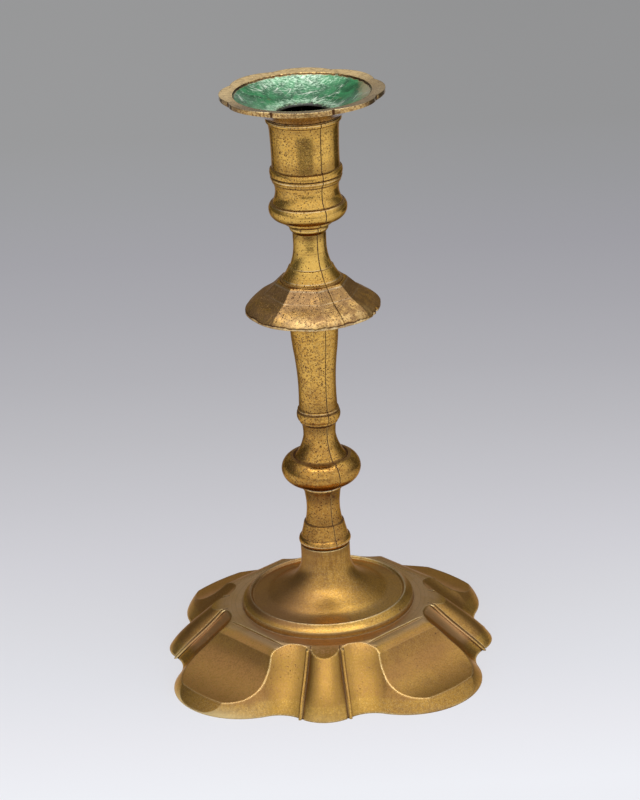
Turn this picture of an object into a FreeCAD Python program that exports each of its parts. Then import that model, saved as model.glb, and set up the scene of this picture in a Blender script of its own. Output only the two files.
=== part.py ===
import FreeCAD, Part
import Sketcher
import math
import os

# Brass candlestick. Millimetres, +Z up. The origin is the centre of the base where it
# meets the table. The ribs of the base lie along X and Y, its lobes half way between.

doc = FreeCAD.newDocument("BrassCandlestick")
sheet = doc.addObject("Spreadsheet::Sheet", "Sizes")

SIZES = (
    # base, seen from above
    ("lobe_reach", 63.8),
    ("rib_reach", 56.4),
    ("lobe_top_reach", 59.8),
    ("lobe_top_edge_level", 4.2),
    ("lobe_top_inner_reach", 38.9),
    ("lobe_top_inner_level", 14.9),
    ("chord_reach", 33.4),
    ("chord_step", 0.8),
    ("ring_foot_radius", 29.6),
    ("ring_foot_level", 18.57),
    ("ring_edge_radius", 26.54),
    ("ring_edge_level", 21.2),
    ("platform_fall", 0.28),
    ("base_wall", 3.0),
    ("rib_bead_radius", 0.55),
    ("rib_groove_size", 0.8),
    # cone of the base and its joint with the stem
    ("joint_level", 39.45),
    ("cone_top_radius", 8.43),
    ("cone_wall", 2.3),
    ("seat_thickness", 3.5),
    # tenon that holds the stem to the base
    ("tenon_radius", 4.0),
    ("tenon_clearance", 0.25),
    ("tenon_head_radius", 5.3),
    ("tenon_head_height", 2.2),
    # stem
    ("foot_ring_radius", 8.9),
    ("low_neck_radius", 5.72),
    ("knop_level", 67.6),
    ("knop_radius", 13.5),
    ("upper_neck_radius", 5.5),
    ("collar_radius", 7.4),
    ("collar_level", 87.4),
    ("shaft_top_radius", 8.0),
    ("stem_hollow_radius", 3.1),
    ("knop_hollow_radius", 9.6),
    # drip pan part-way up the stem
    ("pan_rim_radius", 22.6),
    ("pan_rim_level", 126.3),
    ("pan_step_radius", 11.6),
    ("pan_step_level", 135.6),
    ("pan_thickness", 1.7),
    ("pan_turn", 11.0),
    ("pan_side_swell", 1.3),
    # socket
    ("socket_neck_radius", 5.5),
    ("bowl_radius", 12.95),
    ("bowl_level", 160.6),
    ("bead_radius", 12.0),
    ("bead_level", 172.6),
    ("socket_radius", 11.1),
    ("lip_radius", 12.4),
    ("lip_level", 191.3),
    ("socket_bore_radius", 9.4),
    ("socket_floor_level", 159.2),
    ("socket_floor_thickness", 1.5),
    ("socket_floor_clearance", 0.25),
    # seam between the two halves of the stem
    ("seam_turn", 30.0),
    ("seam_gap", 0.3),
    ("seam_recess", 0.22),
    # loose nozzle
    ("rim_radius", 26.8),
    ("rim_top_level", 199.8),
    ("rim_thickness", 1.0),
    ("rim_cusp_depth", 1.4),
    ("rim_turn", 25.0),
    ("dish_radius", 22.18),
    ("dish_step", 0.6),
    ("dish_hole_level", 192.9),
    ("candle_hole_radius", 8.35),
    ("sleeve_clearance", 0.3),
    ("sleeve_length", 15.0),
)

for row, (name, value) in enumerate(SIZES, start=1):
    cell = "B%d" % row
    sheet.set("A%d" % row, name)
    sheet.set(cell, str(value))
    sheet.setAlias(cell, name)
doc.recompute()


def size(name):
    return float(sheet.get(name))


def point(x, y, z):
    return FreeCAD.Vector(x, y, z)


UP = point(0, 0, 1)
ORIGIN = point(0, 0, 0)


# ---- turned shapes -------------------------------------------------------------------
# A turned outline is a start (radius, level) and a list of steps. A step with one point
# is a straight line; a step with two points is an arc through the first to the second.

def outline_edges(start, steps):
    edges = []
    here = point(start[0], 0, start[1])
    for step in steps:
        there = point(step[-1][0], 0, step[-1][1])
        if len(step) == 1:
            edges.append(Part.LineSegment(here, there).toShape())
        else:
            middle = point(step[0][0], 0, step[0][1])
            edges.append(Part.Arc(here, middle, there).toShape())
        here = there
    return edges


def turned(start, steps, close_by_axis=True):
    edges = outline_edges(start, steps)
    first = point(start[0], 0, start[1])
    last = point(steps[-1][-1][0], 0, steps[-1][-1][1])
    if close_by_axis:
        low = point(0, 0, first.z)
        high = point(0, 0, last.z)
        edges.append(Part.LineSegment(last, high).toShape())
        edges.append(Part.LineSegment(high, low).toShape())
        edges.append(Part.LineSegment(low, first).toShape())
    elif last.distanceToPoint(first) > 1e-6:
        edges.append(Part.LineSegment(last, first).toShape())
    face = Part.Face(Part.Wire(edges))
    solid = face.revolve(ORIGIN, UP, 360)
    return solid


def turn(shape, angle):
    copy = shape.copy()
    copy.rotate(ORIGIN, UP, angle)
    return copy


# ---- base ----------------------------------------------------------------------------
# The sides of the base are a loft through level outlines. Each outline is made of arcs:
# the end of a rib, the hollow panel beside it and the end of a lobe. Positions are given
# beside a rib that runs out along +X: how far out, and how far to the side.

def base_levels():
    lobe = size("lobe_reach")
    rib = size("rib_reach")
    return (
        # level, rib tip, foot of the rib, middle of the panel, lobe corner, lobe end
        (0.0, rib, (rib - 2.5, 7.5), (rib - 5.6, 13.3), (rib - 5.4, 19.1), lobe),
        (4.3, rib - 3.2, (rib - 6.9, 6.95), (rib - 10.1, 13.1), (rib - 8.8, 19.8), lobe - 2.4),
        (8.5, rib - 7.5, (rib - 11.7, 6.15), (rib - 14.7, 12.6), (rib - 12.2, 20.5), lobe - 6.6),
        (13.0, rib - 12.8, (rib - 16.5, 5.4), (rib - 19.2, 11.3), (rib - 17.5, 18.5), lobe - 11.5),
        (17.2, rib - 17.6, (rib - 20.6, 4.75), (rib - 23.5, 10.2), (rib - 22.2, 18.2), lobe - 16.5),
    )


def inset_level(level, wall):
    z, tip, foot, middle, corner, end = level
    return (
        z,
        tip - wall,
        (foot[0] - wall, foot[1]),
        (middle[0] - wall, middle[1]),
        (corner[0] - 0.4 * wall, corner[1] + 0.9 * wall),
        end - wall,
    )


def level_wire(level):
    z, tip, foot, middle, corner, end = level
    edges = []
    for quarter in range(4):
        angle = math.radians(90 * quarter)
        along = point(math.cos(angle), math.sin(angle), 0)
        side = point(-math.sin(angle), math.cos(angle), 0)
        next_along = side
        next_side = -along

        def here(spot, sign, u=along, v=side):
            return u * spot[0] + v * (sign * spot[1]) + UP * z

        def there(spot, u=next_along, v=next_side):
            return u * spot[0] + v * (-spot[1]) + UP * z

        lobe_end = (along + side) * (end / math.sqrt(2)) + UP * z
        edges.append(Part.Arc(here(foot, -1), here((tip, 0), 1), here(foot, 1)).toShape())
        edges.append(Part.Arc(here(foot, 1), here(middle, 1), here(corner, 1)).toShape())
        edges.append(Part.Arc(here(corner, 1), lobe_end, there(corner)).toShape())
        edges.append(Part.Arc(there(corner), there(middle), there(foot)).toShape())
    return Part.Wire(edges)


def base_sides(wall):
    levels = base_levels()
    if wall > 0:
        levels = [inset_level(level, wall) for level in levels]
    wires = [level_wire(level) for level in levels]
    return Part.makeLoft(wires, True, False)


def platform_level(radius):
    return size("ring_foot_level") - size("platform_fall") * (radius - size("ring_foot_radius"))


def above_platform(drop):
    foot = size("ring_foot_radius")
    reach = size("lobe_reach") + 10
    high = size("joint_level") + 20
    return turned(
        (0, platform_level(foot) - drop),
        [[(foot, platform_level(foot) - drop)],
         [(reach, platform_level(reach) - drop)],
         [(reach, high)],
         [(0, high)]],
        False)


def lobe_top_cutter(drop, shift):
    # everything above the hollow sloping top of one lobe, which lies out along +X
    chord = size("chord_reach")
    inner = size("lobe_top_inner_reach")
    inner_level = size("lobe_top_inner_level")
    edge = size("lobe_top_reach")
    edge_level = size("lobe_top_edge_level")
    far = size("lobe_reach") + 12
    step_level = platform_level(chord) - size("chord_step")
    high = size("joint_level")
    half = 24.0
    sag_reach = 0.61 * inner + 0.39 * edge
    sag_level = edge_level + 0.34 * (inner_level - edge_level)
    spots = (
        (chord, high),
        (chord, step_level - drop),
        (0.5 * (chord + inner), 0.25 * step_level + 0.75 * inner_level + 0.85 - drop),
        (inner, inner_level - drop),
        (sag_reach, sag_level - drop),
        (edge, edge_level - drop),
        (far, edge_level - drop),
        (far, high),
    )
    a, b, c, d, e, f, g, i = [point(reach - shift, -half, level) for reach, level in spots]
    edges = [
        Part.LineSegment(a, b).toShape(),
        Part.Arc(b, c, d).toShape(),
        Part.Arc(d, e, f).toShape(),
        Part.LineSegment(f, g).toShape(),
        Part.LineSegment(g, i).toShape(),
        Part.LineSegment(i, a).toShape(),
    ]
    return Part.Face(Part.Wire(edges)).extrude(point(0, 2 * half, 0))


def outer_bevel(shift):
    edge = size("lobe_top_reach") - shift
    edge_level = size("lobe_top_edge_level")
    slope = (size("lobe_reach") + 0.1 - size("lobe_top_reach")) / edge_level
    low = -2.0
    high = size("ring_foot_level")
    return turned(
        (edge + slope * (edge_level - low), low),
        [[(edge + slope * (edge_level - high), high)],
         [(edge + 40, high)],
         [(edge + 40, low)]],
        False)


def petal_block(wall, drop):
    block = base_sides(wall)
    block = block.cut(above_platform(drop))
    for quarter in range(4):
        cutter = turn(lobe_top_cutter(drop, 0.6 * drop), 45 + 90 * quarter)
        block = block.cut(cutter)
    return block.cut(outer_bevel(0.8 * wall))


def rib_cord(side, out, offset, radius):
    # a round cord that follows the line where a rib meets its panel
    levels = base_levels()
    low, above = levels[0], levels[1]
    share = -1.5 / (above[0] - low[0])
    under = [low[2][index] + share * (above[2][index] - low[2][index]) for index in (0, 1)]
    stops = [(under, -1.5)] + [(level[2], level[0]) for level in levels]
    wires = []
    for foot, z in stops:
        centre = point(foot[0] + out, side * (foot[1] + offset), z)
        wires.append(Part.Wire(Part.Circle(centre, UP, radius).toShape()))
    return Part.makeLoft(wires, True, False)


def rib_bead(side):
    return rib_cord(side, -0.25, 0.95, size("rib_bead_radius"))


def rib_groove(side):
    return rib_cord(side, 0.1, 0.1, size("rib_groove_size") / 2)


def cone_outline(radius_less, level_less):
    top = size("joint_level")
    radius = size("cone_top_radius")
    edge = size("ring_edge_radius")
    edge_level = size("ring_edge_level")
    spots = (
        (radius, top - 2.6),
        (radius + 0.75, top - 9.2),
        (radius + 2.3, top - 11.8),
        (radius + 5.4, top - 14.6),
        (radius + 10.4, edge_level + 1.0),
        (edge - 1.3, edge_level - 0.75),
    )
    return [point(r - radius_less, 0, z - level_less) for r, z in spots]


def base_turning():
    # ring moulding and hollow-sided cone that carries the stem
    top = size("joint_level")
    radius = size("cone_top_radius")
    edge = size("ring_edge_radius")
    edge_level = size("ring_edge_level")
    foot = size("ring_foot_radius")
    foot_level = size("ring_foot_level")
    low = foot_level - 1.6
    spots = cone_outline(0, 0)
    curve = Part.BSplineCurve()
    curve.interpolate(Points=spots, InitialTangent=point(0, 0, -1), FinalTangent=point(1, 0, -0.12))
    groove_floor = point(edge - 0.6, 0, edge_level - 0.85)
    edge_in = point(edge, 0, edge_level - 0.05)
    edge_out = point(edge + 0.4, 0, edge_level)
    slope_mid = point((edge + foot) / 2 + 0.1, 0, edge_level - 1.35)
    slope_end = point(foot - 0.25, 0, foot_level + 0.55)
    foot_side = point(foot, 0, foot_level + 0.1)
    foot_low = point(foot, 0, low)
    axis_low = point(0, 0, low)
    axis_top = point(0, 0, top)
    neck = point(radius, 0, top)
    edges = [
        Part.LineSegment(axis_top, neck).toShape(),
        Part.LineSegment(neck, spots[0]).toShape(),
        curve.toShape(),
        Part.LineSegment(spots[-1], groove_floor).toShape(),
        Part.LineSegment(groove_floor, edge_in).toShape(),
        Part.LineSegment(edge_in, edge_out).toShape(),
        Part.Arc(edge_out, slope_mid, slope_end).toShape(),
        Part.LineSegment(slope_end, foot_side).toShape(),
        Part.LineSegment(foot_side, foot_low).toShape(),
        Part.LineSegment(foot_low, axis_low).toShape(),
        Part.LineSegment(axis_low, axis_top).toShape(),
    ]
    return Part.Face(Part.Wire(edges)).revolve(ORIGIN, UP, 360)


def cone_hollow():
    wall = size("cone_wall")
    seat = size("joint_level") - size("seat_thickness")
    spots = cone_outline(wall, wall)
    spots[0] = point(size("cone_top_radius") - wall, 0, seat)
    curve = Part.BSplineCurve()
    curve.interpolate(Points=spots)
    low = size("ring_foot_level") - size("base_wall") - 1.0
    last = spots[-1]
    edges = [
        Part.LineSegment(point(0, 0, seat), spots[0]).toShape(),
        curve.toShape(),
        Part.LineSegment(last, point(last.x, 0, low)).toShape(),
        Part.LineSegment(point(last.x, 0, low), point(0, 0, low)).toShape(),
        Part.LineSegment(point(0, 0, low), point(0, 0, seat)).toShape(),
    ]
    return Part.Face(Part.Wire(edges)).revolve(ORIGIN, UP, 360)


def petal_base():
    wall = size("base_wall")
    block = petal_block(0, 0)
    above = above_platform(0)
    table = Part.makeBox(200, 200, 20, point(-100, -100, -20))
    for quarter in range(4):
        for side in (-1, 1):
            bead = turn(rib_bead(side), 90 * quarter)
            bead = bead.cut(above).cut(table)
            block = block.fuse(bead)
    for quarter in range(4):
        for side in (-1, 1):
            block = block.cut(turn(rib_groove(side), 90 * quarter))
    block = block.fuse(base_turning())
    hollow = petal_block(wall, 0.8 * wall)
    block = block.cut(hollow)
    block = block.cut(cone_hollow())
    hole = size("tenon_radius") + size("tenon_clearance")
    block = block.cut(Part.makeCylinder(hole, size("joint_level"), point(0, 0, 5)))
    return block.removeSplitter()


# ---- stem ----------------------------------------------------------------------------

def lower_stem(less):
    # from the joint to the underside of the drip pan; every radius is smaller by 'less'
    z = size("joint_level")
    ring = size("foot_ring_radius") - less
    neck = size("low_neck_radius") - less
    knop = size("knop_radius") - less
    mid = size("knop_level")
    upper = size("upper_neck_radius") - less
    collar = size("collar_radius") - less
    band = size("collar_level")
    shaft = size("shaft_top_radius") - less
    under_pan = size("pan_rim_level") - 2.0
    return (ring - 0.45, z + 0.25), [
        [(ring, z + 1.5), (ring - 0.35, z + 2.7)],
        [(ring - 0.85, z + 3.1)],
        [(ring - 1.35, z + 5.0), (ring - 2.0, z + 7.9)],
        [(ring - 2.1, z + 8.2)],
        [(ring - 2.55, z + 8.4)],
        [(neck, z + 13.0), (neck + 0.3, z + 18.2)],
        [(neck + 0.55, z + 19.8), (neck + 0.85, z + 20.8)],
        [(neck + 1.25, z + 21.0)],
        [(neck + 1.3, z + 21.8)],
        [(neck + 0.95, z + 22.2)],
        [(neck + 3.1, z + 23.3)],
        [(knop - 0.9, mid - 2.6), (knop, mid)],
        [(knop - 1.6, mid + 3.6), (knop - 4.1, mid + 4.8)],
        [(knop - 4.5, mid + 4.35)],
        [(upper + 1.1, mid + 8.2), (upper, mid + 12.0)],
        [(upper + 0.15, band - 4.4), (upper + 0.35, band - 3.3)],
        [(collar - 1.0, band - 2.7)],
        [(collar - 0.85, band - 1.8)],
        [(collar - 0.35, band - 1.55)],
        [(collar, band - 0.2), (collar - 0.2, band + 1.2)],
        [(collar - 0.6, band + 1.5)],
        [(collar - 0.4, band + 1.95), (collar - 0.55, band + 2.35)],
        [(collar - 0.95, band + 2.6)],
        [(collar - 0.9, band + 3.2)],
        [(collar - 1.05, band + 8.5), (shaft - 0.9, band + 21.0)],
        [(shaft - 0.2, band + 26.8), (shaft + 0.1, under_pan)],
    ]


def upper_stem(less):
    # from the drip pan to the lip of the socket
    step = size("pan_step_level")
    neck = size("socket_neck_radius") - less
    bowl = size("bowl_radius") - less
    bowl_z = size("bowl_level")
    bead = size("bead_radius") - less
    bead_z = size("bead_level")
    barrel = size("socket_radius") - less
    lip = size("lip_radius") - less
    lip_z = size("lip_level")
    return (neck + 4.9, step - 0.6), [
        [(neck + 4.9, step + 0.4)],
        [(neck + 4.4, step + 0.65)],
        [(neck + 3.05, step + 2.5), (neck + 2.0, step + 4.6)],
        [(neck + 1.55, step + 4.75)],
        [(neck + 0.4, step + 8.4), (neck, step + 12.8)],
        [(neck + 0.05, step + 16.5)],
        [(neck + 0.85, step + 17.6)],
        [(neck + 1.0, step + 18.5), (neck + 0.6, step + 19.4)],
        [(neck + 2.6, step + 19.9)],
        [(neck + 2.9, step + 20.6)],
        [(neck + 2.9, step + 21.2)],
        [(neck + 2.5, step + 21.4)],
        [(bowl - 0.75, bowl_z - 2.3), (bowl, bowl_z)],
        [(bowl - 0.25, bowl_z + 1.2), (bowl - 0.85, bowl_z + 2.05)],
        [(bowl - 1.35, bowl_z + 2.2)],
        [(bowl - 2.5, bowl_z + 6.3), (bead - 1.05, bead_z - 3.0)],
        [(bead - 0.7, bead_z - 2.75)],
        [(bead - 0.6, bead_z - 2.2)],
        [(bead - 0.25, bead_z - 1.5), (bead - 0.2, bead_z - 0.9)],
        [(bead - 0.55, bead_z - 0.55)],
        [(bead - 0.1, bead_z - 0.3)],
        [(bead, bead_z + 0.6), (bead - 0.2, bead_z + 1.6)],
        [(bead - 0.7, bead_z + 1.95)],
        [(barrel + 0.05, bead_z + 2.1)],
        [(barrel, bead_z + 6.5), (barrel + 0.2, bead_z + 13.0)],
        [(barrel + 0.4, lip_z - 3.0), (lip - 0.55, lip_z - 1.5)],
        [(lip - 0.05, lip_z - 1.1)],
        [(lip, lip_z - 0.7)],
        [(lip - 0.1, lip_z)],
    ]


def polygon_wire(radius, level, turn_by, bow):
    # eight corners joined by arcs that bulge by 'bow'
    corners = []
    for index in range(8):
        angle = math.radians(turn_by + 45 * index)
        corners.append(point(radius * math.cos(angle), radius * math.sin(angle), level))
    edges = []
    for index in range(8):
        first = corners[index]
        second = corners[(index + 1) % 8]
        middle = (first + second) * 0.5
        out = point(middle.x, middle.y, 0)
        out.normalize()
        edges.append(Part.Arc(first, middle + out * bow, second).toShape())
    return Part.Wire(edges)


def pan_wire(radius, level, swell, bow):
    # eight-sided outline; each side has a cusp at its middle and bulges either side of it
    apothem = radius * math.cos(math.radians(22.5)) + swell
    spots = []
    for index in range(8):
        angle = math.radians(size("pan_turn") - 90 + 45 * index)
        half = math.radians(size("pan_turn") - 67.5 + 45 * index)
        spots.append(point(radius * math.cos(angle), radius * math.sin(angle), level))
        spots.append(point(apothem * math.cos(half), apothem * math.sin(half), level))
    edges = []
    for index, first in enumerate(spots):
        second = spots[(index + 1) % 16]
        if bow > 0:
            middle = (first + second) * 0.5
            out = point(middle.x, middle.y, 0)
            out.normalize()
            edges.append(Part.Arc(first, middle + out * bow, second).toShape())
        else:
            edges.append(Part.LineSegment(first, second).toShape())
    return Part.Wire(edges)


# worn nicks in the rim of the pan: angle from +X, radius of the nick, depth
PAN_NICKS = (
    (-24.5, 0.9, 0.55),
    (-17.0, 1.5, 0.9),
    (12.8, 1.2, 0.8),
    (28.5, 1.0, 0.55),
    (-101.0, 0.9, 0.35),
)


def drip_pan(less):
    # eight-sided spreading pan; its facets are hollow from the crease down to the rim
    step = size("pan_step_radius") - less
    rim = size("pan_rim_radius") - less
    high = size("pan_step_level") - less
    low = size("pan_rim_level") - less
    thick = size("pan_thickness")
    swell = size("pan_side_swell")
    wires = []
    for share, height in ((1.0, 0.0), (0.89, 0.18), (0.62, 0.40), (0.34, 0.62), (0.0, 1.0)):
        radius = step + share * (rim - step)
        level = low + height * (high - low)
        wires.append(pan_wire(radius, level, swell * share ** 5, 0.45 * share ** 5))
    lower = Part.makeLoft(wires[:4], True, False)
    upper = Part.makeLoft(wires[3:], True, True)
    band = Part.Face(wires[0]).extrude(point(0, 0, -0.55 * thick))
    under = turned(
        (0, low - 4),
        [[(rim - 3.2, low - 4)],
         [(rim - 3.2, low - 0.3)],
         [(rim - 6.4, low + 1.4), (step, low + 5.4)],
         [(0, low + 5.4)]],
        False)
    pan = lower.fuse(upper).fuse(band).cut(under)
    for angle, radius, depth in PAN_NICKS:
        out = rim + radius - depth
        spot = point(out * math.cos(math.radians(angle)), out * math.sin(math.radians(angle)), low - 3)
        pan = pan.cut(Part.makeCylinder(radius, 7.0, spot))
    return pan


def stem_outside(less):
    joint = size("joint_level")
    start, steps = lower_stem(less)
    lower = turned(start, steps)
    start, steps = upper_stem(less)
    upper = turned(start, steps)
    foot_ring = Part.makeCylinder(size("cone_top_radius") - 0.35 - less, 1.0, point(0, 0, joint))
    shape = lower.fuse(foot_ring)
    core_top = size("pan_step_level") - 0.5
    core_low = size("pan_rim_level") - 3.0
    core = Part.makeCylinder(size("shaft_top_radius") - less, core_top - core_low, point(0, 0, core_low))
    shape = shape.fuse(core)
    shape = shape.fuse(drip_pan(less))
    shape = shape.fuse(upper)
    seat = joint - size("seat_thickness")
    tenon = Part.makeCylinder(size("tenon_radius") - less, size("seat_thickness") + 1, point(0, 0, seat))
    head = Part.makeCylinder(
        size("tenon_head_radius") - less, size("tenon_head_height"),
        point(0, 0, seat - size("tenon_head_height")))
    return shape.fuse(tenon).fuse(head)


def stem_hollow():
    bore = size("stem_hollow_radius")
    knop = size("knop_level")
    low = size("joint_level") + 6
    floor = size("socket_floor_level")
    hollow = turned(
        (bore, low),
        [[(bore, knop - 6.0)],
         [(size("knop_hollow_radius"), knop), (bore, knop + 6.0)],
         [(bore, floor)]])
    socket = Part.makeCylinder(size("socket_bore_radius"), size("lip_level") - floor + 5, point(0, 0, floor))
    return hollow.fuse(socket)


def seam_slab(gap):
    # a thin upright slab through the axis, along the seam
    reach = size("pan_rim_radius") + 10
    slab = Part.makeBox(gap, 2 * reach, size("lip_level") + 10, point(-gap / 2, -reach, 20))
    return turn(slab, size("seam_turn"))


def half_space(sign):
    gap = size("seam_gap")
    reach = size("pan_rim_radius") + 10
    start = gap / 2 if sign > 0 else -gap / 2 - reach
    box = Part.makeBox(reach, 2 * reach, size("lip_level") + 10, point(start, -reach, 20))
    return turn(box, size("seam_turn"))


def front_space(sign):
    reach = size("pan_rim_radius") + 10
    start = -reach if sign > 0 else 0
    box = Part.makeBox(2 * reach, reach, size("lip_level") + 10, point(-reach, start, 20))
    return turn(box, size("seam_turn"))


def stem_halves():
    outside = stem_outside(0)
    hollow = stem_hollow()
    whole = outside.cut(hollow)
    left = whole.common(half_space(-1))
    right = whole.common(half_space(1))
    recess = size("seam_recess")
    low = size("joint_level") + 0.3
    band = Part.makeBox(120, 120, size("lip_level") - low - 0.3, point(-60, -60, low))
    filler = stem_outside(recess).cut(hollow).common(seam_slab(size("seam_gap"))).common(band)
    front = filler.common(front_space(1))
    back = filler.common(front_space(-1))
    return left, right, front, back


# ---- nozzle --------------------------------------------------------------------------

def nozzle_turning():
    rim = size("rim_radius") + 1.5
    top = size("rim_top_level")
    thick = size("rim_thickness")
    dish = size("dish_radius")
    step = size("dish_step")
    hole = size("candle_hole_radius")
    hole_level = size("dish_hole_level")
    lip = size("lip_radius")
    seat = size("lip_level")
    sleeve = size("socket_bore_radius") - size("sleeve_clearance")
    foot = seat - size("sleeve_length")
    return turned(
        (hole, foot),
        [[(sleeve - 0.2, foot)],
         [(sleeve, foot + 0.4)],
         [(sleeve, seat)],
         [(lip - 0.25, seat)],
         [(lip - 0.1, seat + 0.4)],
         [(lip + 2.2, seat + 1.9), (lip + 7.6, seat + 5.1)],
         [(rim, top - thick)],
         [(rim, top)],
         [(rim - 1.5, top)],
         [(dish + 0.3, top - 0.45)],
         [(dish, top - 0.45 - step)],
         [(dish - 6.4, hole_level + 2.35), (hole + 0.9, hole_level)],
         [(hole + 0.25, hole_level - 0.3), (hole, hole_level - 1.0)]],
        False)


def nozzle():
    rim = size("rim_radius")
    cusp = size("rim_cusp_depth")
    side = 1 - math.cos(math.radians(22.5))
    corner = rim - cusp
    outline = polygon_wire(corner, size("lip_level") - 40, size("rim_turn") - 90, corner * side + cusp)
    prism = Part.Face(outline).extrude(point(0, 0, 80))
    return nozzle_turning().common(prism)


# ---- objects of the document ---------------------------------------------------------

def add_shape(name, shape):
    if len(shape.Solids) == 1:
        shape = shape.Solids[0]
    piece = doc.addObject("Part::Feature", name)
    piece.Label = name
    piece.Shape = shape
    piece.Placement = FreeCAD.Placement()
    return piece


def origin_plane(body, role):
    for feature in body.Origin.OriginFeatures:
        if feature.Role == role:
            return feature
    raise ValueError(role)


def add_socket_floor():
    body = doc.addObject("PartDesign::Body", "socket_floor")
    body.Label = "socket_floor"
    sketch = body.newObject("Sketcher::SketchObject", "FloorOutline")
    sketch.AttachmentSupport = [(origin_plane(body, "XY_Plane"), "")]
    sketch.MapMode = "FlatFace"
    radius = size("socket_bore_radius") - size("socket_floor_clearance")
    sketch.addGeometry(Part.Circle(ORIGIN, UP, radius), False)
    sketch.addConstraint(Sketcher.Constraint("Coincident", 0, 3, -1, 1))
    sketch.addConstraint(Sketcher.Constraint("Radius", 0, radius))
    sketch.setExpression("Constraints[1]", "Sizes.socket_bore_radius - Sizes.socket_floor_clearance")
    pad = body.newObject("PartDesign::Pad", "FloorDisc")
    pad.Profile = sketch
    pad.setExpression("Length", "Sizes.socket_floor_thickness")
    body.Placement = FreeCAD.Placement(point(0, 0, size("socket_floor_level")), FreeCAD.Rotation())
    body.setExpression("Placement.Base.z", "Sizes.socket_floor_level")
    doc.recompute()
    body.Tip = pad
    return body


left_half, right_half, front_braze, back_braze = stem_halves()
pieces = [
    add_shape("petal_base", petal_base()),
    add_shape("stem_half_left", left_half),
    add_shape("stem_half_right", right_half),
    add_shape("braze_seam_front", front_braze),
    add_shape("braze_seam_back", back_braze),
    add_socket_floor(),
    add_shape("nozzle", nozzle()),
]
doc.recompute()

for item in doc.Objects:
    if "Invalid" in item.State or "Error" in item.State:
        raise RuntimeError("object failed: " + item.Name)

os.makedirs("parts", exist_ok=True)
for piece in pieces:
    shape = piece.Shape
    if shape.isNull() or not shape.isValid():
        raise RuntimeError("shape failed: " + piece.Label)
    box = shape.BoundBox
    print(piece.Label, len(shape.Solids), round(shape.Volume, 1),
          [round(v, 2) for v in (box.XMin, box.XMax, box.YMin, box.YMax, box.ZMin, box.ZMax)])
    shape.exportStep("parts/" + piece.Label + ".step")
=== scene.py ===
import bpy
import math
from mathutils import Matrix, Vector

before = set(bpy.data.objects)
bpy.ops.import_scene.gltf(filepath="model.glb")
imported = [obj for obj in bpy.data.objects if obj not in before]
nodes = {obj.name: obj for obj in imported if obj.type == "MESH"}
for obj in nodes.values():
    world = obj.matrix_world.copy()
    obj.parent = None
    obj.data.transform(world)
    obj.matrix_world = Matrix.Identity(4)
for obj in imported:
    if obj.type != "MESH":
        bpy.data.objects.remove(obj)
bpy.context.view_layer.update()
print("brass candlestick:", len(nodes), "nodes loaded")


class Wire:
    # a socket of a material's tree: arithmetic on it adds Math nodes

    def __init__(self, paint, socket):
        self.paint = paint
        self.socket = socket

    def __add__(self, other):
        return self.paint.maths("ADD", self, other)

    def __radd__(self, other):
        return self.paint.maths("ADD", other, self)

    def __sub__(self, other):
        return self.paint.maths("SUBTRACT", self, other)

    def __rsub__(self, other):
        return self.paint.maths("SUBTRACT", other, self)

    def __mul__(self, other):
        return self.paint.maths("MULTIPLY", self, other)

    def __rmul__(self, other):
        return self.paint.maths("MULTIPLY", other, self)

    def __truediv__(self, other):
        return self.paint.maths("DIVIDE", self, other)

    def __rtruediv__(self, other):
        return self.paint.maths("DIVIDE", other, self)

    def __abs__(self):
        return self.paint.maths("ABSOLUTE", self)


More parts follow.
